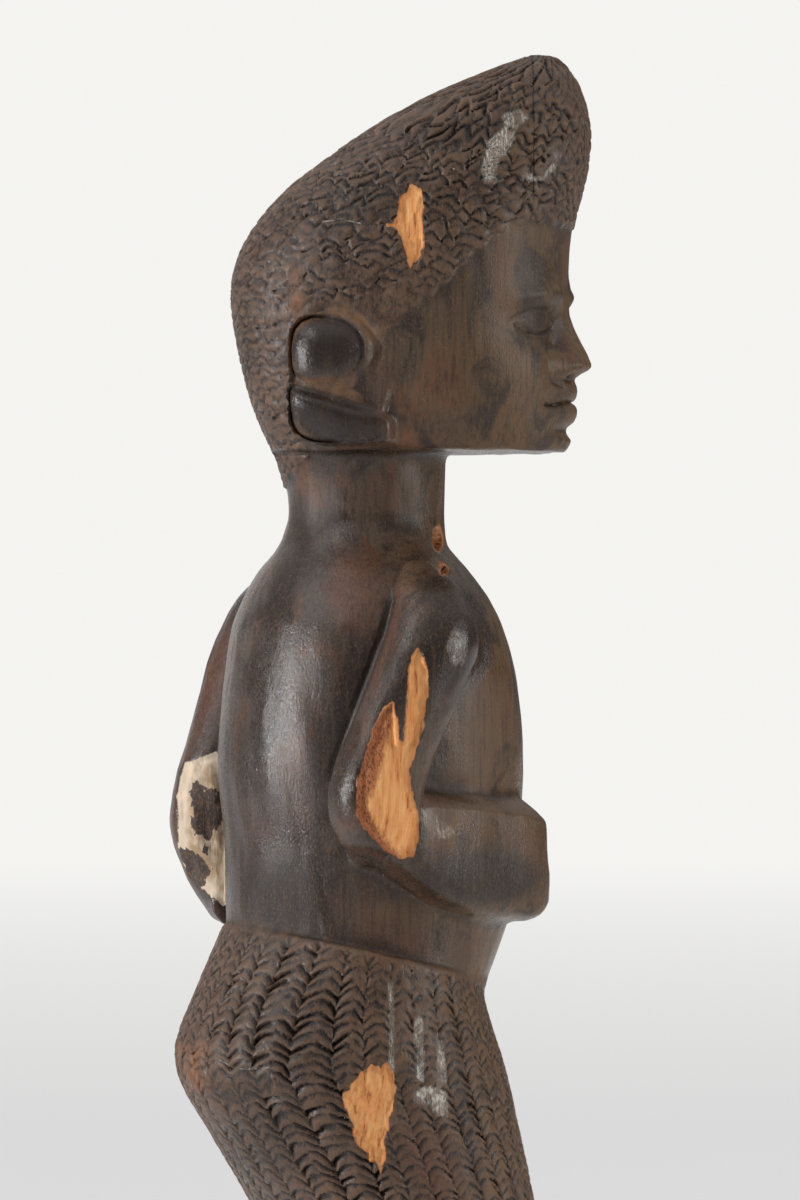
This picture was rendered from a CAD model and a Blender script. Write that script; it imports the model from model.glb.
"""A standing figure carved from one block of dark-stained hardwood.

The carving starts as a copy of the plain solid. It is refined and smoothed, then the face, ears, chip-cut
hair, chip-cut wrap, cracks, worm holes and broken places are cut into it. Points inside the shaping
functions are millimetres from the log's axis: to the figure's left, to its back, and up.
"""

import math

import bpy
import numpy as np
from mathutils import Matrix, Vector, geometry, kdtree


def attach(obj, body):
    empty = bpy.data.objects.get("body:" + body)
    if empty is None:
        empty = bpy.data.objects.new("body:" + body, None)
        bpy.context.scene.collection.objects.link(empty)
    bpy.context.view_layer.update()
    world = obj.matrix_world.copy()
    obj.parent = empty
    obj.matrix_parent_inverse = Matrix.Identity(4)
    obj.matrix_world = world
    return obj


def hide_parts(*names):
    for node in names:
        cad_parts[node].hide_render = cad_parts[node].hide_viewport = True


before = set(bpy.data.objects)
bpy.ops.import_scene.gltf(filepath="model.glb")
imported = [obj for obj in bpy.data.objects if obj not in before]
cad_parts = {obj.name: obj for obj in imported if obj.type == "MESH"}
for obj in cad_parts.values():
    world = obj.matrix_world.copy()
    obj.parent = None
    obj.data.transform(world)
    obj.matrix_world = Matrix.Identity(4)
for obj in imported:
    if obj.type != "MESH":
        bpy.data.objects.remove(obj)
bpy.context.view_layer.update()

MM = 0.001
MERGE_DISTANCE = 1e-6
REFINED_STEP = 0.5 * MM
MOST_TRIANGLES = 196000
SOFT_EDGE_ANGLE = math.radians(50)  # edges blunter than this are shaded smooth
FAR_OUTSIDE = -9  # stands for a place well outside an outline

AXIS_SET_BACK = 8.0  # the log's axis lies this far behind the origin
HEAD_TURN = math.radians(39)  # towards the figure's right
VIEW_TURN = math.radians(27)  # the photograph looks from the right and this far behind
VIEW_HEIGHT = 269.7
VIEW_SHIFT = 6.5  # the picture's middle is this far ahead of the axis, as the camera sees it
VIEW_DISTANCE = 1300.0
VIEW_HALF_HEIGHT = 144  # half the height of the figure that fills the picture, at the axis

JAW_HEIGHT = 305.0
FACE_HEIGHT = 52.0
FACE_THIRD = FACE_HEIGHT / 3
NOSE_BASE = JAW_HEIGHT + FACE_THIRD
BROW = NOSE_BASE + FACE_THIRD
EYE_HEIGHT = BROW - 5.5
PUPIL_ASIDE = 13
MOUTH_HEIGHT = NOSE_BASE - FACE_THIRD / 3

HEM_HEIGHT = 98.0
WAIST_HEIGHT = 183.5
WAIST_FALL = 0.25  # towards the belly
# Where the wrap's grooves run, in degrees round from the front, and how deep their notches are: as seen on
# the near side, then evenly
WRAP_GROOVES = [
    (-180, 0.9), (-170, 0.9), (-159, 1.0), (-148, 1.2), (-134, 1.25), (-120, 1.15), (-109, 0.7), (-98.7, 0.6),
    (-89, 0.6), (-78, 0.7), (-68, 1.0), (-58.5, 0.75), (-49, 0.65),
] + [(degrees, 0.8) for degrees in range(-40, 181, 10)]

# Level slices of the wrap and head: height, how far ahead the middle is, half depth, half width
WRAP = [
    (98, 14.3, 29, 36.8),
    (125.7, 4.7, 32.8, 38),
    (146, -4, 37.3, 40),
    (160.5, -9.4, 39.2, 40.8),
    (172.5, -9.5, 35, 39),
    (192, -6.9, 28.4, 35.4),
]
HEAD = [
    (305, 11.3, 33.9, 27.5),
    (326, 8.1, 38.3, 34),
    (345, 6.8, 39.8, 35),
    (357, 9.4, 38, 33.8),
    (368, 15.7, 34.6, 31.2),
    (378, 23.5, 28.5, 27.2),
    (388, 31.5, 19.5, 20.8),
    (396, 39, 8.5, 10),
    (399, 41, 3.5, 3),
]
# The hair's cuts: where the lowest row starts, how far apart the rows are, how tall the belts of rows with
# equally many cuts are, how wide a cut is, and how far the hair stands out from its middle at each height
HAIR_FOOT, HAIR_PITCH, HAIR_BELT, HAIR_CUT_WIDTH = 290, 2.0, 4, 4.8
HAIR_RADII = [(290, 30), (345, 36), (368, 32), (385, 22), (396, 10)]
# Elbow and shoulder of each arm: across, ahead, up
ARMS = [((-39.4, -17, 215), (-38, -4, 276)), ((40.5, -20.6, 205), (39.1, -7.6, 266))]
# How far parts of the forearms are moved down: which side, between which heights, and by how much at each
# place across the picture
FOREARM_MOVES = [
    (-1, (189, 198, 205, 214), [(-14, 0), (-8, -2.5), (0, -3), (7, -1), (14, 2), (24, 3.5), (32, 2)]),
    (-1, (207, 215, 224, 238), [(12, 0), (22, -1.5), (36, -3.2)]),
    (1, (189, 198, 200, 209), [(-47, 0.5), (-42, 3), (-36, 6), (-30, 6.5)]),
]
FAR_ELBOW_DROP = 10
ARM_GROOVE = [(4.5, 269.4), (2.6, 262.5), (0.5, 257.4), (-3.5, 246.7), (-9.6, 230), (-10.6, 226.9)]
SHOULDER_GROOVE = [
    (12, 273.4), (18, 273.2), (23.3, 269.5), (27.0, 262.1), (26.8, 255.5), (23, 249.5), (16.9, 243),
]
EAR_AHEAD, EAR_HEIGHT = -0.3, 321.0
EAR_SLOT_SLOPE = 0.31
EAR_LOBE = (-2.7, 7.3, 9.3, 7.9)  # ahead, up, half length and half height of the lobe over the slot

# Parts of the face: middle to the side and up, half width and half height, and how far forward
FACE_FORMS = [
    (PUPIL_ASIDE, EYE_HEIGHT - 0.4, 8.6, 4.8, 1.1),
    (6.8, NOSE_BASE + 3.2, 3.9, 3.8, 1.5),
    (3.7, NOSE_BASE + 0.2, 1.9, 1.6, -1.3),
    (0, MOUTH_HEIGHT + 2.5, 13, 2.9, 0.9),
    (0, MOUTH_HEIGHT - 2.7, 11.5, 3.1, 1.1),
    (0, MOUTH_HEIGHT - 6.6, 8, 2.2, -0.9),
    (12.6, MOUTH_HEIGHT, 2.4, 2.4, -0.5),
    (0, MOUTH_HEIGHT + 5.2, 1.6, 2.2, -0.5),
]

# Places the photograph shows, as outlines (across, up) on the picture's plane through the axis
ARM_BREAK = [
    (10.7, 258.5), (12.1, 256.3), (13.3, 252.9), (13.3, 247.9), (12.1, 239.1), (10.2, 232.8), (8.9, 229),
    (9, 225.2), (10.2, 220.9), (11, 217.1), (11.1, 211.4), (9.7, 208.3), (6.8, 207.2), (3.3, 209.2),
    (-0.8, 213.3), (-3.9, 217.4), (-4.3, 222.7), (-3.7, 226.5), (-2, 232.8), (0.2, 239.1), (2.7, 244.4),
    (4.9, 245.4), (5.8, 241.6), (6.5, 235.3), (7.2, 235.3), (7.9, 241.6), (8.4, 251), (9.1, 256),
]
ARM_BREAK_RIM = [
    (4.6, 245), (0.8, 240.3), (-2, 232.8), (-4.4, 225.9), (-4.5, 219), (-0.8, 213), (4.3, 208.2),
    (6.8, 207.4), (2.7, 211.7), (-0.4, 216.5), (-1.8, 220.9), (0.3, 225.9), (1.8, 231.5), (3.6, 238.4),
    (5.2, 243.5),
]
HAIR_BREAK = [
    (9.8, 369.3), (12, 367.8), (12, 353.4), (10.6, 350.3), (9.1, 349.8), (7.4, 353.4), (6, 359), (2.6, 359.4),
    (6, 361.1), (6, 365.2), (8.2, 368.6),
]
WRAP_BREAK = [
    (-0.2, 158.6), (2.1, 156.6), (3.4, 158.6), (5, 156.2), (5.5, 152.3), (4.8, 147.3), (3.6, 143),
    (2.9, 135.3), (1.7, 132.2), (1, 134.8), (-0.7, 135), (-1.2, 137.9), (-3.4, 137.9), (-4.6, 142.2),
    (-6.5, 147.3), (-7.4, 151.1), (-4.6, 154.2), (-2.2, 156.6),
]
ELBOW_WEAR = [
    (-37.4, 233.4), (-45.4, 230.5), (-46.9, 223), (-46.8, 210), (-44.6, 204), (-36, 196), (-32.5, 199.5),
    (-33.5, 205), (-31, 210.5), (-32.8, 217), (-30.8, 223), (-33.6, 229.5),
]
ELBOW_FLAKES = [
    [(-43, 225.5), (-38, 224.5), (-36, 218), (-38.5, 212.5), (-42.5, 213.5), (-44, 219)],
    [(-46, 210), (-40, 209), (-38, 204), (-41, 200.5), (-45.5, 203)],
]
RUBBED_PLACES = [
    [(31, 386.5), (35.5, 387.6), (37.5, 385.4), (34.6, 382.6), (31.2, 383.4)],
    [(25.6, 374.3), (27, 379.4), (30.7, 383), (34.2, 382), (33.4, 378.6), (31.9, 376.7), (30.6, 375.3),
     (29.8, 372.4), (31.7, 370.5), (26.9, 369.3)],
    [(35, 370.5), (36.5, 372.6), (40.3, 371.4), (43.7, 375.3), (43.4, 378.2), (45.3, 376.7),
     (43.7, 372.9), (40.3, 370)],
    [(3.6, 178), (5, 178), (5.5, 156.4), (4, 156.4)],
    [(9.8, 169.8), (12, 169.8), (12.7, 154.2), (10.2, 154.2)],
    [(15.2, 165.5), (17, 165.5), (18, 153.3), (15.6, 153.3)],
    [(17.5, 258.5), (18.4, 262.3), (20.6, 263.3), (22.5, 261.1), (22.8, 256.7), (21.6, 253.5), (19.4, 253.2)],
    [(11.2, 219.9), (14, 219.6), (18.4, 216.5), (20.3, 214.6), (18.4, 212.1), (14.6, 212.7), (12.1, 215.8)],
    [(9.4, 151.6), (13.7, 153.3), (18, 151.6), (18, 145.6), (15.1, 145.6), (13.7, 148.5), (10.1, 148.7)],
]
SCRATCHES = [
    [(-37.7, 159.8), (-33.4, 157.4), (-29.5, 157.1), (-24.5, 157.6)],
    [(-12.5, 360.4), (-7.9, 361.1), (-5, 360.6), (-0.2, 359.4)],
    [(3.6, 208.5), (2.2, 202.7)],
]
RUSTY_PLACES = [
    [(-20.4, 348.9), (-17.3, 349.4), (-16.8, 336.4), (-19.9, 334.5)],
    [(6, 321), (10.6, 321), (10.6, 305.7), (6, 305.7)],
    [(-48, 163.1), (-39.8, 163.1), (-39.4, 152), (-44, 152)],
]
# Soft patches of the finish: middle across and up, half width, half height, lean to the right, strength
BLACKENED_PATCHES = [
    (-24, 254, 3.4, 27, 7, 1.4), (18.5, 260.1, 7.7, 13.4, 8, 1.25), (16.6, 273.0, 6.2, 2.9, -20, 0.8),
    (-18.5, 277.8, 3.1, 6.7, 25, 0.8), (-6.7, 244.5, 3.6, 19.2, 14, 0.7), (-5.5, 225.3, 3.8, 8.2, 14, 0.9),
    (25.2, 203.0, 14.9, 6.2, -14, 1.15), (-32.9, 221.7, 3.4, 21.6, 0, 0.55), (5.3, 248.1, 3.8, 11.0, 12, 0.8),
    (-17.5, 202.5, 16.8, 6.7, -8, 0.5), (-30, 153, 8, 4, 0, 0.8), (-2, 365, 16, 7, 45, 0.8),
    (20, 382, 12, 4, 55, 0.8), (-31, 330, 3, 12, 0, 0.5), (-29, 163, 2.2, 18, 12, 0.9),
    (-19, 160, 2.4, 22, -6, 0.9), (-10, 158, 2.6, 24, -8, 0.9), (22.5, 145, 2, 22, -10, 0.7),
    (-20, 166, 15, 14, 0, 0.6), (-25, 140, 12, 12, 0, 0.6), (-17, 285, 4, 10, 0, 0.6),
    (2, 216, 3, 6, 0, 0.8), (-21, 200, 12, 16, 0, 1.1),
]
REDDENED_PATCHES = [
    (-4.1, 272.1, 8.2, 9.6, 0, 0.9), (2.4, 257.7, 2.9, 14.4, 16, 0.6), (-38.6, 250.5, 4.3, 15.8, 14, 0.8),
    (14, 135, 7, 14, -20, 0.6), (-25.2, 213.3, 5.8, 4.8, 0, 0.5), (-12.7, 197.7, 7.2, 3.8, -10, 0.5),
    (-17.5, 245.7, 4.8, 14.4, 0, 0.25),
]
DULLED_PATCHES = [
    (25.2, 236.1, 7.2, 13.9, -4, 0.8), (11.3, 194.1, 15.8, 3.4, -18, 0.8), (25.2, 218.8, 13.4, 2.6, -6, 0.8),
    (29.0, 267.3, 2.9, 14.4, -14, 0.7), (-29.5, 255.3, 1.9, 14.4, 10, 0.4), (35, 378, 7, 8, 0, 0.9),
]
MATTE_PATCHES = [
    (-21.5, 196.0, 10, 16, 0, 1.45), (-13.5, 292.0, 8, 11, 0, 1.1), (8.0, 293.0, 5, 11, 0, 1.1),
    (-9.5, 270.5, 14, 10, 0, 0.9), (19, 226.5, 11, 4, -4, 1.3), (27, 238, 10, 18, -4, 1.1),
    (12, 271, 8, 4, 0, 0.8),
]
# How deep the cuts, breaks and worn places go, and how far the grooves reach to both sides
HAIR_STANDS_OUT = 0.7
HIP_WEAR_DEPTH = 0.3
ARM_GROOVE_DEPTH, ARM_GROOVE_REACH = 0.65, 1.3
SHOULDER_GROOVE_DEPTH, SHOULDER_GROOVE_REACH = 0.55, 2.2
BREAK_DEPTH = 0.9
ARM_BREAK_DEPTH = 1.3
ELBOW_WEAR_DEPTH = 0.8
WORM_HOLE_DEPTH = 2.2
SMOOTH_HIP = [(-39.4, 157.1), (-24.5, 157.6), (-24, 150.2), (-33.1, 148.5), (-39.4, 150.2)]
SPLIT_ACROSS = 38.7
WORM_HOLES = [((15.6, 284.3), (1.0, 2.4)), ((16.9, 277), (1.0, 1.2))]  # middle and half sizes


def smooth_step(value, low, high):
    t = np.clip((value - low) / (high - low), 0, 1)
    return t * t * (3 - 2 * t)


def band(value, foot, low, high, top):
    """1 from low to high, falling smoothly to 0 at foot and at top."""
    return smooth_step(value, foot, low) * smooth_step(value, top, high)


def ring(value, middle, half_width):
    """1 at the middle, falling smoothly to 0 at half_width from it."""
    away = np.abs(value - middle) / half_width
    return np.where(away < 1, 0.5 + 0.5 * np.cos(np.pi * away), 0)


def scatter(*keys):
    """A repeatable number from 0 to 1 for each combination of whole-number keys."""
    mixed = sum((i + 1) * 12.9898 * np.floor(key) * (1 + 0.37 * i) for i, key in enumerate(keys))
    return np.modf(np.abs(np.sin(mixed + 4.7)) * 43758.5453)[0]


def sway(points, length, seed, upright=1.0):
    """Smooth random waves of that length, mostly from -1 to 1. A small upright draws them out up the log."""
    random = np.random.default_rng(seed)
    points = points * (1, 1, upright)
    total = np.zeros(len(points))
    waves = 9
    for _ in range(waves):
        direction = random.normal(size=3)
        direction *= random.uniform(0.7, 1.5) / np.linalg.norm(direction)
        total += np.sin(points @ direction * 2 * np.pi / length + random.uniform(0, 6.28))
    return 2 * total / waves


def read_points(carving):
    """The vertices in millimetres from the log's axis: to the figure's left, back, and up."""
    points = np.empty(len(carving.data.vertices) * 3)
    carving.data.vertices.foreach_get("co", points)
    return points.reshape(-1, 3) / MM - (0, AXIS_SET_BACK, 0)


def write_points(carving, points):
    placed = (points + (0, AXIS_SET_BACK, 0)) * MM
    carving.data.vertices.foreach_set("co", placed.ravel())
    carving.data.update()


def read_normals(carving):
    normals = np.empty(len(carving.data.vertices) * 3)
    carving.data.vertex_normals.foreach_get("vector", normals)
    return normals.reshape(-1, 3)


HEAD_AHEAD = np.array([-math.sin(HEAD_TURN), -math.cos(HEAD_TURN), 0])
HEAD_LEFT = np.array([math.cos(HEAD_TURN), -math.sin(HEAD_TURN), 0])
UP = np.array([0.0, 0.0, 1.0])
VIEW_ACROSS = np.array([-math.sin(VIEW_TURN), -math.cos(VIEW_TURN), 0])
VIEW_BACK = np.array([-math.cos(VIEW_TURN), math.sin(VIEW_TURN), 0])  # towards the camera


def seen(points):
    """Across and up on the picture's plane through the axis, as the photograph's camera sees them."""
    share = VIEW_DISTANCE / (VIEW_DISTANCE - points @ VIEW_BACK)
    across = VIEW_SHIFT + (points @ VIEW_ACROSS - VIEW_SHIFT) * share
    up = VIEW_HEIGHT + (points[:, 2] - VIEW_HEIGHT) * share
    return across, up


def from_stretch(across, up, start, end):
    """Distance from a straight stretch on the picture's plane, and how far along it the nearest place is."""
    (x0, y0), (x1, y1) = start, end
    dx, dy = x1 - x0, y1 - y0
    along = np.clip(((across - x0) * dx + (up - y0) * dy) / (dx * dx + dy * dy), 0, 1)
    return np.hypot(across - x0 - along * dx, up - y0 - along * dy), along


def from_line(across, up, line):
    """Distance from an open line on the picture's plane, and how far along it the nearest place is."""
    nearest = np.full(len(across), np.inf)
    where = np.zeros(len(across))
    for i, (start, end) in enumerate(zip(line, line[1:])):
        distance, along = from_stretch(across, up, start, end)
        where = np.where(distance < nearest, (i + along) / (len(line) - 1), where)
        nearest = np.minimum(nearest, distance)
    return nearest, where


def inside_outline(across, up, outline):
    """How far inside a closed outline each place lies, in millimetres, negative outside."""
    nearest = np.full(len(across), np.inf)
    crossings = np.zeros(len(across), bool)
    for (x0, y0), (x1, y1) in zip(outline, outline[1:] + outline[:1]):
        nearest = np.minimum(nearest, from_stretch(across, up, (x0, y0), (x1, y1))[0])
        if y0 != y1:
            spans = (y0 > up) != (y1 > up)
            crossings ^= spans & (across < x0 + (x1 - x0) * (up - y0) / (y1 - y0))
    return np.where(crossings, nearest, -nearest)


def inside_any(across, up, outlines):
    return np.max([inside_outline(across, up, outline) for outline in outlines], axis=0)


def near_side(normals, least=0.15):
    """1 where the surface faces the photograph's camera, 0 where it faces away."""
    return smooth_step(normals @ VIEW_BACK, least, least + 0.15)


def on_head(points):
    """How far ahead, left and up each point lies, by the turned head's own axes."""
    return points @ HEAD_AHEAD, points @ HEAD_LEFT, points[:, 2]


def slices(table, heights):
    """The other columns of a table of level slices, read off at these heights."""
    rows = np.array(table, float)
    return [np.interp(heights, rows[:, 0], rows[:, i]) for i in range(1, rows.shape[1])]


def select_only(carving):
    bpy.ops.object.select_all(action="DESELECT")
    carving.select_set(True)
    bpy.context.view_layer.objects.active = carving


def apply_modifier(carving, kind, **settings):
    select_only(carving)
    modifier = carving.modifiers.new(kind.lower(), kind)
    for name, value in settings.items():
        setattr(modifier, name, value)
    bpy.ops.object.modifier_apply(modifier=modifier.name)


def smooth_where(carving, weights, factor, iterations):
    """Smooths the surface as far as the weights say, rounded to sixteenths."""
    group = carving.vertex_groups.new(name="smoothed")
    steps = np.rint(np.clip(weights, 0, 1) * 16).astype(int)
    for step in range(1, 17):
        members = np.flatnonzero(steps == step)
        if len(members):
            group.add(members.tolist(), step / 16, "REPLACE")
    apply_modifier(carving, "SMOOTH", factor=factor, iterations=iterations, vertex_group=group.name)
    carving.vertex_groups.clear()


def copy_of_the_solid():
    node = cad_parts["carved_figure"]
    carving = bpy.data.objects.new("carving", node.data.copy())
    bpy.context.scene.collection.objects.link(carving)
    carving.data.materials.clear()
    select_only(carving)
    bpy.ops.object.mode_set(mode="EDIT")
    bpy.ops.mesh.select_all(action="SELECT")
    bpy.ops.mesh.remove_doubles(threshold=MERGE_DISTANCE)
    bpy.ops.object.mode_set(mode="OBJECT")
    return carving


def crease_points(carving):
    """Points along the solid's outer edges, which the smoothing leaves alone, except on the upper arms."""
    least_angle = math.radians(44)
    spacing = 0.5
    waist_reach, arm_reach, arm_foot = 4, 18, 196
    mesh = carving.data
    arms = [[Vector((x, AXIS_SET_BACK - y, z)) for x, y, z in ends] for ends in ARMS]
    faces_of = {}
    for face in mesh.polygons:
        for key in face.edge_keys:
            faces_of.setdefault(key, []).append(face)
    points = []
    for (a, b), faces in faces_of.items():
        if len(faces) != 2 or faces[0].normal.angle(faces[1].normal, 0) < least_angle:
            continue
        start, end = mesh.vertices[a].co / MM, mesh.vertices[b].co / MM
        inner = (faces[1].center - faces[0].center).dot(faces[0].normal) > 0
        at_waist = abs(start.z - WAIST_HEIGHT + WAIST_FALL * (AXIS_SET_BACK - start.y)) < waist_reach
        from_arms = min((start - geometry.intersect_point_line(start, *ends)[0]).length for ends in arms)
        if (inner and not at_waist) or (from_arms < arm_reach and start.z > arm_foot):
            continue
        count = max(1, int((end - start).length / spacing))
        points += [start.lerp(end, i / count) for i in range(count + 1)]
    return points


def distance_to(points, places):
    tree = kdtree.KDTree(len(places))
    for i, place in enumerate(places):
        tree.insert(place, i)
    tree.balance()
    return np.array([tree.find(point)[2] for point in points])


def smooth_the_planes(carving, creases):
    """Rounds away the solid's flat facets. Hard edges stay, a little softened as a knife leaves them."""
    face_share, ear_share = 0.2, 0.3
    points = read_points(carving)
    ahead, left, up = on_head(points)
    weights = smooth_step(distance_to(points + (0, AXIS_SET_BACK, 0), creases), 0.6, 4.5)
    face = smooth_step(ahead, 12, 22) * band(up, 305.6, 308, 360, 364)
    ear = smooth_step(np.abs(left), 31, 34) * band(ahead, -17, -14, 17, 20) * band(up, 302, 304, 341, 345)
    weights += (face_share - weights) * face
    weights += (ear_share - weights) * ear
    smooth_where(carving, weights, 0.6, 70)
    apply_modifier(carving, "SMOOTH", factor=0.5, iterations=5)


def settle_forearms(carving):
    """Moves the edges of each forearm to where the photograph shows them."""
    points = read_points(carving)
    across, _ = seen(points)
    heights = points[:, 2].copy()
    for side, (foot, low, high, top), table in FOREARM_MOVES:
        places, drops = np.transpose(table)
        here = smooth_step(side * points[:, 0], 14, 24) * band(heights, foot, low, high, top)
        points[:, 2] -= here * np.interp(across, places, drops)
    write_points(carving, points)


def arches(along, across, rise, seed):
    """Staggered rows of scallop-edged cuts, as a gouge leaves them.

    along counts rows upwards and across counts cells. Returns each place's depth from 0 at its cut's
    foot to 1 just under its edge, its place in the cut from -1 to 1, and the cut's own random number.
    """
    best = np.full(len(along), np.inf)
    place = np.zeros(len(along))
    chance = np.zeros(len(along))
    for ahead in (0, 1, 2):
        row = np.floor(along) + ahead
        shift = 0.5 * np.mod(row, 2) + 0.5 * scatter(row, seed)
        cell = np.floor(across + shift)
        inside = 2 * (across + shift - cell) - 1
        number = scatter(cell, row, seed)
        skew = inside + 0.35 * (number - 0.5) * (1 - inside**2)
        shortfall = 0.7 - 0.5 * (scatter(cell, row, seed + 1) - 0.5)
        edge = row - shortfall + rise * (1 - np.abs(skew) ** 1.6)
        above = (edge > along) & (edge < best)
        best = np.where(above, edge, best)
        place = np.where(above, skew, place)
        chance = np.where(above, number, chance)
    gap = best - along
    drop = np.clip(1 - gap / 1.15, 0, 1) ** 1.3 * smooth_step(gap, 0, 0.25)
    return drop, place, chance


def hair_area(points, normals):
    """1 on the hair and 0 on skin. The hairline rises from the ear to the forehead."""
    ahead, left, up = on_head(points)
    lowest = np.interp(ahead, [-24, -12, -4, 8, 12, 36, 39, 44], [294, 303, 312, 329, 332, 356, 358.4, 359])
    lowest = lowest + 0.5 * np.sin(ahead * 1.7) + 0.4 * np.sin(left * 1.3 + 1)
    outside_ear = smooth_step(np.abs(left), 36.6, 35.6) + smooth_step(ahead, -13.2, -14) + (up > 338)
    faces_up = smooth_step(normals[:, 2], -0.75, -0.6)
    return smooth_step(up - lowest, -0.4, 0.5) * np.clip(outside_ear, 0, 1) * faces_up


def cut_hair(points):
    """Depth of the scalloped gouge cuts that stand for the hair."""
    ahead, left, up = on_head(points)
    middle, depth, width = slices(HEAD, up)
    angle = np.arctan2(left / width, (ahead - middle) / depth)
    peak = smooth_step(up + 0.25 * ahead, 366, 384)
    temple = smooth_step(ahead, -4, 12) * smooth_step(up - 0.5 * ahead, 344, 332)
    along = (up - HAIR_FOOT + 1.3 * sway(points, 24, 3) + 0.5 * sway(points, 9, 4)) / HAIR_PITCH
    along = along - 9.5 * np.clip(up - 366, 0, 40) ** 2 / 2000
    belt = np.floor(along * HAIR_PITCH / HAIR_BELT) * HAIR_BELT + HAIR_FOOT
    girth = 2 * np.pi * np.interp(belt, *np.transpose(HAIR_RADII))
    cells = np.maximum(6, np.rint(girth / HAIR_CUT_WIDTH))
    around = angle / (2 * np.pi) * cells + 0.3 * sway(points, 11, 6)
    top = smooth_step(up + 0.3 * ahead, 335, 372)
    drop, place, chance = arches(along, around, 0.62 + 0.3 * top, 11)
    strength = (0.5 + 0.3 * top + 0.2 * peak + 0.4 * np.abs(place) ** 1.5) * (0.4 + 1.0 * chance)
    return strength * drop * (1 - 0.35 * temple)


def wrap_area(points, normals):
    ahead, up = -points[:, 1], points[:, 2]
    waist = WAIST_HEIGHT - WAIST_FALL * ahead
    faces_up = smooth_step(normals[:, 2], -0.85, -0.7)
    return smooth_step(waist - up, 0.2, 1.6) * smooth_step(up - HEM_HEIGHT, 1.2, 2.4) * faces_up


def cut_wrap(points):
    """Depth of the wrap's fir-tree notches. They start deep in the grooves, rise to both sides and run out
    on the ridges between, a long one and a short one to each ridge."""
    ahead, up = -points[:, 1], points[:, 2]
    middle, depth, width = slices(WRAP, up)
    turn = np.degrees(np.arctan2(points[:, 0] / width, (ahead - middle) / depth)) + 1.6 * sway(points, 40, 8)
    grooves, depths = np.transpose(WRAP_GROOVES)
    turn = np.mod(turn + 180, 360) - 180
    column = np.clip(np.searchsorted(grooves, turn) - 1, 0, len(grooves) - 2)
    start = grooves[column]
    share = (turn - start) / (grooves[column + 1] - start)  # 0 and 1 at the grooves
    ridge = 0.55 + 0.05 * sway(points, 5, 14)
    long_side = share < ridge
    out = np.where(long_side, share / ridge, (1 - share) / (1 - ridge))
    back = 0.5 - 0.5 * np.cos(np.radians(start))
    pitch = 2.1 + 0.4 * back + 0.2 * (scatter(column, 5) - 0.5)
    waist = WAIST_HEIGHT - WAIST_FALL * np.interp(np.cos(np.radians(start)), [-1, 1], [-34, 26])
    side = column + 0.5 * long_side
    rows = (up - waist) / pitch + scatter(column, 9) + 0.35 * scatter(side * 2, 2)
    rows = rows - 0.9 * (1 - (1 - out) ** 1.8) + 0.22 * sway(points, 6, 12)
    row = np.floor(rows)
    chance = scatter(side * 2, row, 3)
    drop = np.clip(rows - row + 0.25 * (chance - 0.5), 0, 1)
    drop = drop**1.7 * smooth_step(1 - drop, 0, 0.16)
    strength = (1.05 + 0.4 * back) * (1 - out) ** 0.8 + 0.32
    strength = strength * np.where(long_side, depths[column], depths[column + 1])
    strength = strength * (0.55 + 0.45 * smooth_step(waist - up, 1, 12))
    return strength * (0.3 + 1.15 * chance) * drop + 0.2 * ring(out, 0, 0.2)


def shape_face(points):
    """Closed lids, nostrils and lips, placed by the head's own axes: how far ahead each point moves."""
    ahead, left, up = on_head(points)
    side = np.abs(left)
    move = 0
    for aside, height, across, tall, rise in FACE_FORMS:
        move = move + rise * np.clip(1 - ((side - aside) / across) ** 2 - ((up - height) / tall) ** 2, 0, 1)
    from_pupil = side - PUPIL_ASIDE
    slit = ring(up - EYE_HEIGHT + 1.6 - 0.034 * from_pupil**2, 0, 0.85)
    fold = ring(up - EYE_HEIGHT - 3.9 + 0.035 * from_pupil**2, 0, 1.0)
    move = move - 0.95 * slit * smooth_step(np.abs(from_pupil), 8, 6.6)
    move = move - 0.45 * fold * smooth_step(np.abs(from_pupil), 9.5, 7.5)
    brow = ring(up - BROW - 2.6 + 0.018 * (side - 11) ** 2, 0, 2.4)
    move = move + 0.6 * brow * band(side, 3, 7, 17, 24)
    wing_line = ring(np.hypot((side - 6.2) / 5.2, (up - NOSE_BASE - 3) / 5), 1, 0.2)
    move = move - 0.6 * wing_line * (side > 6.2)
    lips_meet = ring(up - MOUTH_HEIGHT - 0.4 * np.cos(left / 2.6) + 0.005 * left**2, 0, 0.95)
    move = move - 1.3 * lips_meet * smooth_step(side, 12.6, 10.5)
    return move * smooth_step(ahead, 22, 30) * (up > JAW_HEIGHT + 0.3)


def ear_channel(points):
    """Depth of the channel cut between the ear's upper lobe and the hair."""
    ahead, left, up = on_head(points)
    over, rise, half_length, half_height = EAR_LOBE
    forward = (ahead - EAR_AHEAD - over) / half_length
    upward = (up - EAR_HEIGHT - rise) / half_height
    turn = np.degrees(np.arctan2(upward, forward))
    channel = ring(np.hypot(forward, upward), 1.18, 0.25) * band(turn, -28, -8, 92, 118)
    return 1.2 * channel * (np.abs(left) > 24)


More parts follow.
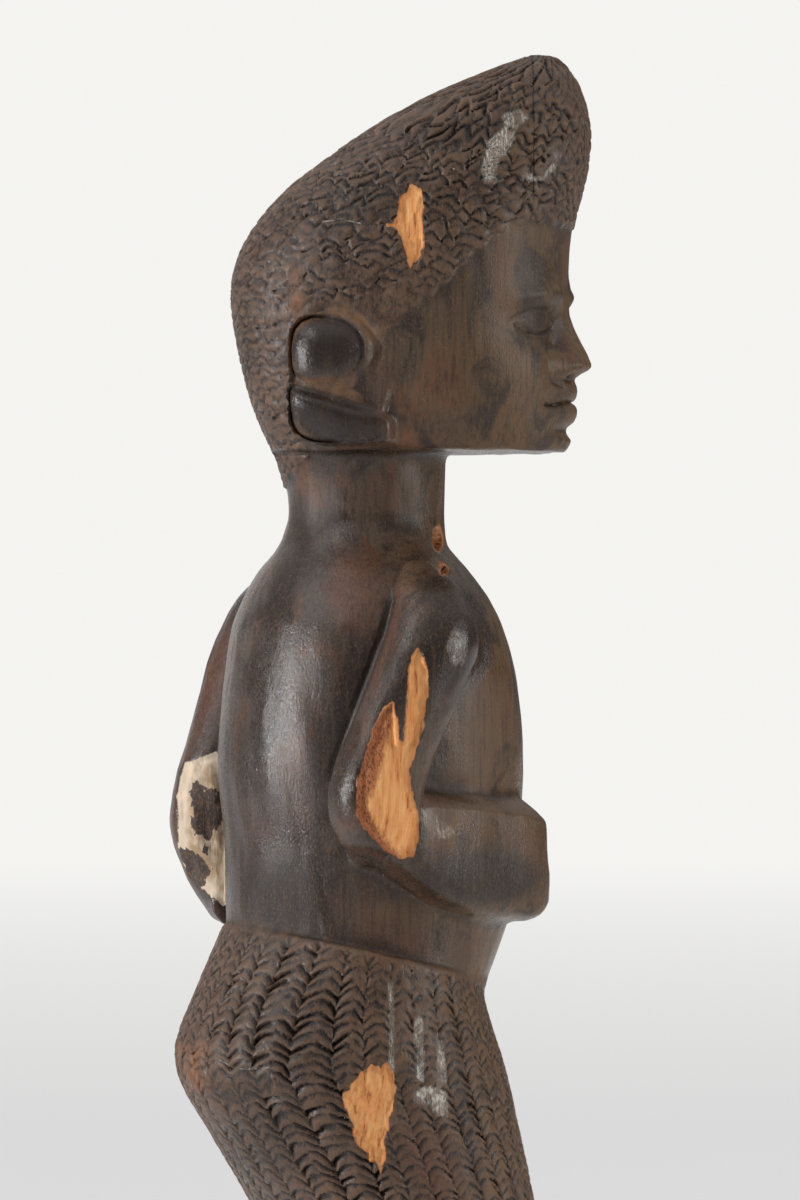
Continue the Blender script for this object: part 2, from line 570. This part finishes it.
def on_ear(points):
    """1 well inside the ears' raised lobes, and 1 in the dusty slot between them."""
    ahead, left, up = on_head(points)
    over, rise, half_length, half_height = EAR_LOBE
    out = np.hypot((ahead - EAR_AHEAD - over) / half_length, (up - EAR_HEIGHT - rise) / half_height)
    upper = smooth_step(out, 1.12, 0.75) * smooth_step(up, EAR_HEIGHT - 0.5, EAR_HEIGHT + 5.5)
    slope = EAR_SLOT_SLOPE * (ahead - EAR_AHEAD) + up - EAR_HEIGHT
    lower = smooth_step(np.abs(slope + 9), 6.5, 3.5) * smooth_step(ahead, 12.5, 9)
    here = (np.abs(left) > 34.8) * (ahead < 12.5) * (ahead > -14)
    here = here * (up < EAR_HEIGHT + 16) * (up > EAR_HEIGHT - 15.5)
    slot = smooth_step(np.abs(slope + 1.2), 3.4, 1.2) * smooth_step(up, EAR_HEIGHT + 1.5, EAR_HEIGHT - 0.5)
    return here * np.maximum(upper, lower), here * slot


def ear_edge(points):
    """How far the ear's two lobes are rounded off towards their edges."""
    ahead, left, up = on_head(points)
    over, rise, half_length, half_height = EAR_LOBE
    out = smooth_step(np.abs(left), 35.5, 37.5) * (up > EAR_HEIGHT - 17)
    above = np.maximum(up - EAR_HEIGHT - rise, 0) / (half_height + 0.5)
    upper = np.hypot((ahead - EAR_AHEAD - over) / (half_length + 0.5), above)
    upper = np.clip(upper, 0, 1.1) ** 2 * (up > EAR_HEIGHT - 0.6)
    slope = EAR_SLOT_SLOPE * (ahead - EAR_AHEAD) + up - EAR_HEIGHT
    lower = np.hypot(np.minimum(slope + 7, 0) / 7, (ahead + 0.3) / 13)
    lower = np.clip(lower, 0, 1.1) ** 2 * (up < EAR_HEIGHT - 0.9)
    return out * (3.8 * upper + 3.0 * lower)


def soften_ears(carving):
    """Lets the ears' lobes run softly into the slot and the temple, as worn carving does."""
    points = read_points(carving)
    ahead, left, up = on_head(points)
    here = smooth_step(np.abs(left) + 0.3 * ahead, 32.5, 35) * band(ahead, -13.5, -12, 17, 22)
    smooth_where(carving, here * band(up, 304, 306, 337, 340), 0.5, 26)


def arm_crease(points, half_width):
    """1 along the groove between each upper arm and the back, 0 at half_width from it.

    The far arm's groove is mirrored from the near one's, and lower.
    """
    mirrored = points.copy()
    mirrored[:, 0] = -np.abs(points[:, 0])
    mirrored[:, 2] += np.where(points[:, 0] > 0, FAR_ELBOW_DROP, 0) * smooth_step(points[:, 2], 280, 230)
    distance, where = from_line(*seen(mirrored), ARM_GROOVE)
    return ring(distance, 0, half_width) * (0.35 + 0.65 * ring(where, 0.45, 0.6)) * (mirrored @ VIEW_BACK > 5)


def shoulder_crease(points, half_width):
    """1 along the groove that sets the near shoulder off from the chest, 0 at half_width from it."""
    distance, where = from_line(*seen(points), SHOULDER_GROOVE)
    return ring(distance, 0, half_width) * (0.3 + 0.7 * ring(where, 0.5, 0.6)) * (points @ VIEW_BACK > 15)


def worn_elbow(points, across, up):
    """How far inside the left elbow's worn place each point lies. The trunk beside the arm stays whole."""
    aside, back = points @ VIEW_ACROSS, points @ VIEW_BACK
    behind_flank = np.minimum(-15 - back, -35.8 - aside)
    on_arm = np.maximum(behind_flank, -17.8 - back)
    inside = np.minimum(inside_outline(across, up, ELBOW_WEAR), 4 * on_arm)
    return np.where(points[:, 0] > 25, inside, FAR_OUTSIDE)


def worm_hole(across, up):
    """1 at the rim of a worm hole, 0 at its middle, more outside."""
    holes = [np.hypot((across - x) / wide, (up - y) / tall) for (x, y), (wide, tall) in WORM_HOLES]
    return np.min(holes, axis=0)


def carve(carving):
    """Cuts every shallow form into the refined mesh."""
    points = read_points(carving)
    normals = read_normals(carving)
    near = near_side(normals)
    hair = hair_area(points, normals)
    wrap = wrap_area(points, normals)
    across, up = seen(points)

    arm_break = inside_outline(across, up, ARM_BREAK) + 0.35 * sway(points, 4, 21)
    broken = inside_any(across, up, [HAIR_BREAK, WRAP_BREAK]) + 0.3 * sway(points, 3, 22)
    elbow = worn_elbow(points, across, up) + 0.4 * sway(points, 6, 24)
    hip = near * smooth_step(inside_outline(across, up, SMOOTH_HIP) + 0.4 * sway(points, 5, 25), -0.3, 0.5)
    low_back = near * smooth_step(-37 + 0.9 * (157 - up) - across, -3, 5) * smooth_step(up, 158, 156)
    whole = smooth_step(broken, 0.2, -0.3) * (1 - 0.6 * hip) * (1 - 0.4 * low_back)

    depth = hair * (cut_hair(points) * whole - HAIR_STANDS_OUT) + wrap * cut_wrap(points) * whole
    depth += np.maximum(hair, wrap) * whole * 0.05 * sway(points, 2.3, 35, upright=0.8)
    depth += HIP_WEAR_DEPTH * hip
    depth += ARM_GROOVE_DEPTH * arm_crease(points, ARM_GROOVE_REACH)
    depth += SHOULDER_GROOVE_DEPTH * shoulder_crease(points, SHOULDER_GROOVE_REACH)
    depth += near * smooth_step(broken, -0.2, 0.6) * (BREAK_DEPTH + 0.3 * sway(points, 2.2, 31))
    splinters = 0.35 * sway(points, 6, 32, upright=0.3) + 0.2 * sway(points, 2.4, 34, upright=0.12)
    depth += near * smooth_step(arm_break, -0.1, 1.0) * (ARM_BREAK_DEPTH + splinters)
    depth += smooth_step(elbow, -0.2, 0.8) * (ELBOW_WEAR_DEPTH + 0.5 * sway(points, 5, 33))
    depth += near * WORM_HOLE_DEPTH * smooth_step(worm_hole(across, up), 1.15, 0.7)
    knife_marks = 0.2 * sway(points, 14, 41, upright=0.6) + 0.06 * sway(points, 3.5, 42, upright=0.3)
    depth += (1 - hair) * (1 - wrap) * knife_marks

    sides = np.sign(points @ HEAD_LEFT)
    moved = points - normals * depth[:, None]
    moved += np.outer(shape_face(points), HEAD_AHEAD)
    moved -= np.outer((ear_channel(points) + ear_edge(points)) * sides, HEAD_LEFT)
    moved[:, 2] = np.maximum(moved[:, 2], 0)
    write_points(carving, moved)
    apply_modifier(carving, "SMOOTH", factor=0.4, iterations=1)
    soften_ears(carving)


def soft_patches(across, up, patches):
    """Strength of the nearest patch, 0 well outside them all."""
    strength = np.zeros(len(across))
    for x, y, half_width, half_height, lean, most in patches:
        slope = math.tan(math.radians(lean))
        out = np.hypot((across - x - slope * (up - y)) / half_width, (up - y) / half_height)
        strength = np.maximum(strength, most * smooth_step(out, 1.5, 0.3))
    return strength


def mark(carving, name, values):
    attribute = carving.data.attributes.new(name, "FLOAT", "POINT")
    attribute.data.foreach_set("value", np.asarray(values, np.float32))


def hollows(carving, reach):
    """How far below its smoothed surroundings each point lies, in millimetres; ridges are negative."""
    points = read_points(carving)
    normals = read_normals(carving)
    smoothed = bpy.data.objects.new("smoothed", carving.data.copy())
    bpy.context.scene.collection.objects.link(smoothed)
    apply_modifier(smoothed, "SMOOTH", factor=0.6, iterations=reach)
    depth = np.sum((read_points(smoothed) - points) * normals, axis=1)
    bpy.data.objects.remove(smoothed)
    return depth


def mark_surfaces(carving):
    """Stores what the finish needs to know at each point, measured on the finished shape."""
    points = read_points(carving)
    normals = read_normals(carving)
    across, up = seen(points)
    near = near_side(normals, 0.05) > 0.5
    facing = smooth_step(normals @ VIEW_BACK, -0.05, 0.15)
    hair = hair_area(points, normals)
    wrap = wrap_area(points, normals)
    elbow = worn_elbow(points, across, up)
    over_waist = points[:, 2] - WAIST_HEIGHT - WAIST_FALL * points[:, 1]
    channel = np.minimum(1, ear_channel(points))
    lobes, slot = on_ear(points)
    face = smooth_step(points @ HEAD_AHEAD, 4, 16) * (points[:, 2] > JAW_HEIGHT + 0.5) * (1 - hair)

    chips_out = inside_any(across, up, [HAIR_BREAK, WRAP_BREAK]) + 0.6 * sway(points, 2.4, 51, upright=0.4)
    insides = {
        "bare": np.maximum(inside_outline(across, up, ARM_BREAK), chips_out),
        "rim": inside_outline(across, up, ARM_BREAK_RIM),
        "rubbed": inside_any(across, up, RUBBED_PLACES),
        "rusty": inside_any(across, up, RUSTY_PLACES),
    }
    distances = {
        "hole": worm_hole(across, up),
        "scratch": np.min([from_line(across, up, line)[0] for line in SCRATCHES], axis=0),
    }
    grooves = np.maximum(1.5 * arm_crease(points, 2.4), 1.1 * shoulder_crease(points, 3))
    worn = np.maximum(facing * soft_patches(across, up, MATTE_PATCHES), 1.3 * arm_crease(points, 4))
    shares = {
        "blackened": facing * np.maximum(soft_patches(across, up, BLACKENED_PATCHES), grooves),
        "reddened": facing * soft_patches(across, up, REDDENED_PATCHES),
        "dulled": facing * soft_patches(across, up, DULLED_PATCHES),
        "matte": np.maximum.reduce([face, worn, 1.3 * slot, 1.5 * ring(over_waist, 0, 3)]),
        "dust": np.maximum.reduce([0.35 * ring(over_waist, -0.5, 3.2), channel, 1.1 * slot]),
        "chipped": np.maximum(hair, wrap),
        "ear": lobes,
        "elbow": elbow,
        "flakes": np.where(elbow > -2, inside_any(across, up, ELBOW_FLAKES), FAR_OUTSIDE),
        "hollow": hollows(carving, 6) * (1 - 0.3 * hair),
        "crease": hollows(carving, 30),
    }
    for name, inside in insides.items():
        mark(carving, name, np.where(near, inside, FAR_OUTSIDE))
    for name, distance in distances.items():
        mark(carving, name, np.where(near, distance, -FAR_OUTSIDE))
    for name, share in shares.items():
        mark(carving, name, share)


# Finish

NEAR_BLACK = (0.014, 0.01, 0.009)
SLATE_BROWN = (0.049, 0.039, 0.036)
OLIVE_BROWN = (0.096, 0.055, 0.025)
RED_BROWN = (0.13, 0.052, 0.024)
DARK_RED = (0.105, 0.042, 0.026)
DULL_BROWN = (0.1, 0.06, 0.031)
DUSTY_BROWN = (0.066, 0.044, 0.034)
GREY_BROWN = (0.06, 0.05, 0.046)
PIT_BLACK = (0.008, 0.006, 0.006)
SPLIT_BLACK = (0.008, 0.006, 0.005)
DUST = (0.165, 0.088, 0.045)
RUST = (0.19, 0.075, 0.03)
BARE_WOOD = (0.6, 0.238, 0.072)
BARE_WOOD_PALE = (0.72, 0.39, 0.16)
BARE_WOOD_DARK = (0.25, 0.07, 0.026)
BURNT = (0.05, 0.012, 0.008)
WORM_RIM = (0.36, 0.13, 0.045)
WORM_HOLLOW = (0.03, 0.012, 0.008)
OLD_WOUND = (0.34, 0.235, 0.145)
WOUND_EDGE = (0.53, 0.425, 0.325)
RUBBED = (0.52, 0.48, 0.42)

# Random patterns: waves per millimetre around the log and up it, then detail, roughness and distortion
NOISES = {
    "broad": (0.03, 0.02, 2),
    "stains": (0.085, 0.06, 4, 0.6, 0.8),
    "grain": (0.14, 0.012, 5, 0.6, 0.4),
    "cracks": (0.22, 0.035, 1),
    "mottle": (0.35, 0.2, 4),
    "smudges": (0.8, 0.5, 3),
    "tatters": (0.9, 0.35, 3),
    "streaks": (0.9, 0.1, 4, 0.65),
    "fine grain": (1.3, 0.06, 3),
    "pores": (1.9, 1.3, 4, 0.65),
    "specks": (2.4, 1.2, 2),
    "hatch": (3.6, 0.08, 1),
    "flecks": (4.5, 3.0, 1),
}
# Colours laid over one another: the pattern that the colour follows, where it starts and is full, how strong
# it is there, the colour, and in some lines a second pattern that limits it
STAIN_LAYERS = [
    ("grain", 0.5, 0.72, 0.4, RED_BROWN),
    ("grain", 0.5, 0.3, 0.55, NEAR_BLACK),
    ("stains", 0.53, 0.66, 1, RED_BROWN, "patchy"),
    ("stains", 0.47, 0.36, 0.8, NEAR_BLACK),
    ("clouded dull", 0.15, 0.75, 0.6, DULL_BROWN),
    ("clouded red", 0.2, 0.9, 0.65, DARK_RED),
    ("clouded black", 0.1, 0.7, 0.85, NEAR_BLACK),
    ("fine grain", 0.48, 0.7, 0.55, NEAR_BLACK),
    ("fine grain", 0.45, 0.3, 0.3, DULL_BROWN),
]
CHIP_LAYERS = [
    ("up", 325, 365, 0.6, GREY_BROWN),
    ("mottle", 0.52, 0.36, 0.8, SLATE_BROWN),
    ("stains", 0.5, 0.4, 0.8, NEAR_BLACK),
    ("smudges", 0.5, 0.38, 0.75, NEAR_BLACK),
    ("smudges", 0.52, 0.66, 0.3, RED_BROWN),
    ("specks", 0.5, 0.62, 0.3, RED_BROWN),
    ("clouded red", 0.2, 0.9, 0.6, DARK_RED),
    ("clouded dull", 0.15, 0.75, 0.6, DULL_BROWN),
    ("clouded black", 0.1, 0.7, 0.85, NEAR_BLACK),
]
SURFACE_LAYERS = [
    ("hollow", -0.02, -0.12, 0.3, DUST, "chipped"),
    ("hollow", 0.015, 0.13, 0.93, PIT_BLACK, "chipped"),
    ("ear", 0, 1, 0.75, NEAR_BLACK),
    ("rusty", -1.5, 2.5, 1, RUST, "rust cover"),
    ("crease", 0.05, 0.5, 0.85, NEAR_BLACK, "plain"),
    ("settled dust", 0, 1, 1, DUST),
    ("fallen dust", 0, 1, 1, DUST),
    ("from crack", 0.005, 0.002, 1, DUST, "crack cover"),
]
BARE_WOOD_LAYERS = [
    ("torn rim", -0.9, 0.3, 0.8, BARE_WOOD_DARK),
    ("specks", 0.5, 0.58, 1, BURNT, "burnt rim"),
    ("bare", 0.9, 0.1, 0.45, BARE_WOOD_DARK),
]
WORM_HOLE_LAYERS = [
    ("hole", 1.6, 1.2, 0.85, WORM_RIM),
    ("hole", 0.9, 0.7, 1, WORM_HOLLOW),
]
RUBBED_LAYERS = [
    ("rubbed share", 0, 1, 1, RUBBED),
    ("faint scratch", 0.22, 0.08, 0.4, RUBBED),
    ("split", 0, 1, 1, SPLIT_BLACK),
]


class Nodes:
    """A node tree under construction. A name given as a value stands for the pattern of that name, or for the
    measure stored on the surface under it."""

    def __init__(self, tree):
        self.tree = tree
        self.patterns = {}

    def add(self, kind, inputs, **settings):
        node = self.tree.nodes.new("ShaderNode" + kind)
        for name, value in settings.items():
            setattr(node, name, value)
        self.fill(node, inputs)
        return node

    def fill(self, node, inputs):
        """Gives these values to the node's sockets, by their names or numbers."""
        for name, value in inputs.items():
            socket = node.inputs[name]
            if isinstance(value, str):
                value = self.pattern(value)
            if isinstance(value, bpy.types.NodeSocket):
                self.tree.links.new(value, socket)
            elif isinstance(value, tuple):
                socket.default_value = (*value, 1)
            else:
                socket.default_value = value

    def pattern(self, name):
        if name not in self.patterns:
            self.patterns[name] = self.add("Attribute", {}, attribute_name=name).outputs["Fac"]
        return self.patterns[name]

    def math(self, kind, result, *others):
        for value in others:
            result = self.add("Math", {0: result, 1: value}, operation=kind).outputs[0]
        return result

    def total(self, *values):
        return self.math("ADD", *values)

    def times(self, *values):
        return self.math("MULTIPLY", *values)

    def most(self, *values):
        return self.math("MAXIMUM", *values)

    def size(self, value):
        return self.most(value, self.times(value, -1))

    def between(self, value, low, high, start=0.0, end=1.0):
        """start where value is low or less, end where it is high or more."""
        inputs = dict(enumerate((value, low, high, start, end)))
        return self.add("MapRange", inputs, clamp=True).outputs["Result"]

    def along(self, place, direction):
        """How far along a direction the place lies."""
        inputs = {0: place, 1: Vector(direction)}
        return self.add("VectorMath", inputs, operation="DOT_PRODUCT").outputs["Value"]

    def blend(self, share, first, second):
        """A shader mixed from two others."""
        return self.add("MixShader", {0: share, 1: first, 2: second}).outputs[0]


class Finish(Nodes):
    """A procedural surface finish under construction."""

    def __init__(self, name):
        self.material = bpy.data.materials.new(name)
        self.material.use_nodes = True
        super().__init__(self.material.node_tree)
        self.shader = self.tree.nodes["Principled BSDF"]
        self.places = self.add("TexCoord", {}).outputs["Object"]

    def noise(self, around, upward, detail, roughness=0.55, distortion=0.0):
        scale = Vector((around, around, upward)) / MM
        stretched = self.add("Mapping", {"Vector": self.places, "Scale": scale}).outputs["Vector"]
        inputs = {"Vector": stretched, "Scale": 1, "Detail": detail}
        inputs |= {"Roughness": roughness, "Distortion": distortion}
        return self.add("TexNoise", inputs).outputs["Fac"]

    def from_axis(self, direction):
        """Millimetres from the log's axis along a direction."""
        return self.total(self.along(self.places, direction / MM), -AXIS_SET_BACK * direction[1])

    def mix(self, share, first, second):
        return self.add("Mix", {0: share, 6: first, 7: second}, data_type="RGBA").outputs[2]

    def ramp(self, value, *stops):
        node = self.add("ValToRGB", {"Fac": value})
        elements = node.color_ramp.elements
        while len(elements) < len(stops):
            elements.new(0.5)
        for element, (place, colour) in zip(elements, stops):
            element.position = place
            element.color = (*colour, 1)
        return node.outputs["Color"]

    def lay(self, colour, layers):
        """Lays the layers' colours over this one."""
        for pattern, low, high, most, layer, *limits in layers:
            share = self.times(self.between(pattern, low, high, 0, most), *limits)
            colour = self.mix(share, colour, layer)
        return colour


def find_patterns(wood):
    """Names the random patterns and the directions, and what follows from them and the stored measures."""
    found = wood.patterns
    found.update((name, wood.noise(*settings)) for name, settings in NOISES.items())
    found["up"] = wood.from_axis(UP)
    found["across"] = wood.from_axis(VIEW_ACROSS)
    found["back"] = wood.from_axis(VIEW_BACK)

    found["wavering across"] = wood.total("across", wood.times("broad", 60), -30)
    found["patchy"] = wood.total(wood.times("matte", 0.35), 0.5)
    found["cloud"] = wood.total(wood.times("stains", 1.6), -0.8)
    found["clouded dull"] = wood.total("dulled", "cloud")
    found["clouded red"] = wood.total("reddened", wood.times("cloud", -1))
    found["clouded black"] = wood.total("blackened", "cloud")
    found["plain"] = wood.total(wood.times("chipped", -1), 1)
    found["rust cover"] = wood.between("mottle", 0.35, 0.6, 0.1, 0.85)
    found["crack cover"] = wood.between("mottle", 0.5, 0.62, 0, 0.55)
    found["from crack"] = wood.size(wood.total("cracks", -0.5))

    settled = wood.most("dust", wood.times("plain", wood.between("crease", 0.3, 1.0, 0, 0.25)))
    found["settled dust"] = wood.times(settled, wood.between("mottle", 0.35, 0.6, 0.15, 0.8))
    fallen = wood.most(wood.between("specks", 0.57, 0.68, 0, 0.35), wood.between("flecks", 0.62, 0.7, 0, 0.4))
    found["fallen dust"] = wood.times(fallen, wood.between("ear", 0, 1, 1, 0.2))

    found["ragged"] = wood.total(wood.times("tatters", 1.6), -0.8)
    found["torn rim"] = wood.total(wood.times("ragged", 1.5), "rim")
    found["burnt rim"] = wood.between("rim", -1.5, 0.8, 0, 0.7)
    found["bare share"] = wood.between(wood.total("bare", "ragged"), -0.1, 0.15)
    found["wound depth"] = wood.total("elbow", "ragged")
    found["wound share"] = wood.between("wound depth", -0.1, 0.2)
    found["broken"] = wood.most("bare share", "wound share")
    found["faint scratch"] = wood.total("scratch", wood.times("mottle", 0.4), -0.2)
    found["rubbed share"] = rubbed_share(wood)
    found["split"] = split_share(wood)


def rubbed_share(wood):
    """How silvery the rubbed places are: on the faces between the cuts, and between plain wood's pores."""
    on_cuts = wood.times("chipped", wood.between("hollow", -0.08, -0.01, 0.45, 1))
    on_plain = wood.times(wood.between("chipped", 0, 1, 0.55, 0), wood.between("pores", 0.42, 0.56, 0.25, 1))
    return wood.times(
        wood.between(wood.total("rubbed", "ragged"), -0.2, 0.6),
        wood.between("hatch", 0.42, 0.58, 0.3, 1),
        wood.between("mottle", 0.42, 0.58, 0.45, 1),
        wood.most(on_cuts, on_plain),
    )


def split_share(wood):
    """1 along the split that runs down from the hair's peak, on the side that the photograph shows."""
    aside = wood.total("across", wood.times("fine grain", 1.6), -SPLIT_ACROSS)
    return wood.times(
        wood.between(wood.size(aside), 0.28, 0.1),
        wood.between("up", 362, 366),
        wood.between("back", 2, 6),
    )


def elbow_wound(wood):
    """The worn elbow's pale wood, with the dark flakes that still cling to it."""
    wound = wood.mix(wood.between("mottle", 0.42, 0.6), OLD_WOUND, WOUND_EDGE)
    wound = wood.mix(wood.between("wound depth", 3.2, 1.6), wound, WOUND_EDGE)
    flakes = wood.total("flakes", "ragged", wood.times("mottle", 9), -4.5)
    flake_colour = wood.mix(wood.between("specks", 0.5, 0.6, 0, 0.7), SLATE_BROWN, DUST)
    return wood.mix(wood.between(flakes, -0.1, 0.15), wound, flake_colour)


def wood_colour(wood):
    """The stained wood with its dust and rust, then the bare wood, the wound and the rubbed places."""
    stain = wood.mix(wood.between("wavering across", -16, 30), SLATE_BROWN, OLIVE_BROWN)
    chips = wood.mix(wood.between("wavering across", -25, 30), DUSTY_BROWN, OLIVE_BROWN)
    stain, chips = wood.lay(stain, STAIN_LAYERS), wood.lay(chips, CHIP_LAYERS)
    colour = wood.lay(wood.mix(wood.times("chipped", 0.85), stain, chips), SURFACE_LAYERS)
    bare = wood.ramp("streaks", (0.3, BARE_WOOD_DARK), (0.42, BARE_WOOD), (0.72, BARE_WOOD_PALE))
    colour = wood.mix("bare share", colour, wood.lay(bare, BARE_WOOD_LAYERS))
    colour = wood.lay(colour, WORM_HOLE_LAYERS)
    colour = wood.mix("wound share", colour, elbow_wound(wood))
    return wood.lay(colour, RUBBED_LAYERS)


def wood_roughness(wood):
    """Waxed wood, rougher where it is dull, matte, chip-cut, broken or dusty."""
    dull = wood.times(wood.between("clouded dull", 0.15, 0.75), 0.12)
    waxed = wood.total(wood.between("pores", 0.38, 0.62, 0.17, 0.36), dull)
    return wood.most(
        wood.total(wood.most(waxed, wood.times("matte", 0.44)), wood.times("ear", -0.04)),
        wood.times("chipped", wood.between("smudges", 0.38, 0.6, 0.34, 0.6)),
        wood.times("broken", 0.75),
        "settled dust",
    )


def wood_relief(wood):
    """The height of the finest marks: grain, pores, torn fibres, specks and the split."""
    return wood.total(
        wood.times("fine grain", 0.25),
        wood.times("mottle", 0.3),
        wood.times("pores", 0.9),
        wood.times("smudges", "chipped", 0.8),
        wood.times("streaks", "broken", 2.5),
        wood.times("specks", 0.3),
        wood.times("split", -2),
    )


def stained_wood():
    wood = Finish("stained hardwood")
    find_patterns(wood)
    bump = wood.add("Bump", {"Strength": 0.5, "Distance": 0.25 * MM, "Height": wood_relief(wood)})
    wood.fill(wood.shader, {
        "Specular IOR Level": 0.3,
        "Base Color": wood_colour(wood),
        "Roughness": wood_roughness(wood),
        "Normal": bump.outputs["Normal"],
    })
    return wood.material


# Stage

BACKGROUND = (0.905, 0.90, 0.88)
FLOOR_COLOUR = (0.98, 0.98, 0.98)
FLOOR_RADIUS = 4.4
FLOOR_FADE = (1.5, 4.2)  # the floor turns into the background between these distances
FLOOR_DROP = 0.0005
# How bright the room is by height, and towards the place that glows: between which heights or nearnesses it
# changes, and from how much to how much
ROOM_BRIGHTNESS = (0.2, 0.95, 0.12, 1.34)
GLOW_BRIGHTNESS = (0.85, 0.98, 0.0, 0.9)
GLOW_DIRECTION = -0.95 * VIEW_BACK - 0.31 * VIEW_ACROSS
LIGHT_SPREAD = math.radians(60)
LIT_PLACE = (0, 0, 0.26)
# Each light: width and height, degrees to the right of the camera, height, distance, and watts
LIGHTS = {
    "tall light left": ((0.09, 0.36), (-75, 0.36, 1.4), 1.8),
    "upper light left": ((0.24, 0.24), (-60, 1.15, 0.95), 0.46),
    "soft light right": ((0.3, 0.6), (72, 0.5, 1.5), 1.2),
}
SENSOR_WIDTH = 36


def pale_floor():
    """A wide round floor that fades into the background towards its rim."""
    place = (0, 0, -FLOOR_DROP)
    bpy.ops.mesh.primitive_circle_add(vertices=96, radius=FLOOR_RADIUS, fill_type="TRIFAN", location=place)
    floor = bpy.context.object
    floor.name = "floor"
    finish = Finish("pale floor")
    finish.fill(finish.shader, {"Base Color": FLOOR_COLOUR, "Specular IOR Level": 0})
    glow = finish.add("Emission", {"Color": BACKGROUND})
    distance = finish.add("VectorMath", {0: finish.places}, operation="LENGTH")
    far = finish.between(distance.outputs["Value"], *FLOOR_FADE)
    fade = finish.blend(far, finish.shader.outputs[0], glow.outputs[0])
    finish.fill(finish.tree.nodes["Material Output"], {"Surface": fade})
    floor.data.materials.append(finish.material)


def from_camera(sideways, height, distance):
    """A place given as degrees to the right of the camera, metres up and metres away from the figure."""
    turn = math.radians(sideways)
    direction = VIEW_BACK * math.cos(turn) + VIEW_ACROSS * math.sin(turn)
    return (direction[0] * distance, direction[1] * distance + AXIS_SET_BACK * MM, height)


def soft_light(name, size, place, power):
    light = bpy.data.lights.new(name, "AREA")
    light.shape = "RECTANGLE"
    light.size, light.size_y = size
    light.energy = power
    light.spread = LIGHT_SPREAD
    lamp = bpy.data.objects.new(name, light)
    bpy.context.scene.collection.objects.link(lamp)
    lamp.location = place
    lamp.rotation_mode = "QUATERNION"
    lamp.rotation_quaternion = (Vector(place) - Vector(LIT_PLACE)).to_track_quat("Z", "Y")


def light_the_room():
    """A plain backdrop, a room that is bright above and glows behind the figure, and three soft lights."""
    world = bpy.data.worlds.new("studio")
    world.use_nodes = True
    room = Nodes(world.node_tree)
    backdrop = room.tree.nodes["Background"]
    room.fill(backdrop, {"Color": BACKGROUND})
    direction = room.add("TexCoord", {}).outputs["Generated"]
    above = room.between(room.along(direction, UP), *ROOM_BRIGHTNESS)
    glow = room.between(room.along(direction, GLOW_DIRECTION), *GLOW_BRIGHTNESS)
    lit = room.add("Background", {"Strength": room.total(above, glow)})
    seen_straight = room.add("LightPath", {}).outputs["Is Camera Ray"]
    both = room.blend(seen_straight, lit.outputs[0], backdrop.outputs[0])
    room.fill(room.tree.nodes["World Output"], {"Surface": both})
    bpy.context.scene.world = world
    for name, (size, place, power) in LIGHTS.items():
        soft_light(name, size, from_camera(*place), power)


def aim_camera():
    data = bpy.data.cameras.new("camera")
    data.sensor_width = SENSOR_WIDTH
    data.lens = SENSOR_WIDTH / 2 * VIEW_DISTANCE / VIEW_HALF_HEIGHT
    camera = bpy.data.objects.new("camera", data)
    bpy.context.scene.collection.objects.link(camera)
    place = VIEW_BACK * VIEW_DISTANCE + VIEW_ACROSS * VIEW_SHIFT + UP * VIEW_HEIGHT
    camera.location = (place + (0, AXIS_SET_BACK, 0)) * MM
    camera.rotation_mode = "QUATERNION"
    camera.rotation_quaternion = Vector(VIEW_BACK).to_track_quat("Z", "Y")
    bpy.context.scene.camera = camera


def make_figure():
    carving = copy_of_the_solid()
    creases = crease_points(carving)
    apply_modifier(carving, "REMESH", mode="VOXEL", voxel_size=REFINED_STEP, adaptivity=0)
    smooth_the_planes(carving, creases)
    settle_forearms(carving)
    carve(carving)
    kept = min(1, MOST_TRIANGLES / (2 * len(carving.data.polygons)))
    apply_modifier(carving, "DECIMATE", ratio=kept, use_collapse_triangulate=True)
    mark_surfaces(carving)
    select_only(carving)
    bpy.ops.object.shade_smooth_by_angle(angle=SOFT_EDGE_ANGLE)
    carving.name = "stained_wood_figure"
    carving.data.materials.append(stained_wood())
    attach(carving, "root")
    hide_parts("carved_figure")


make_figure()
pale_floor()
light_the_room()
aim_camera()
bpy.context.scene.view_settings.view_transform = "Standard"
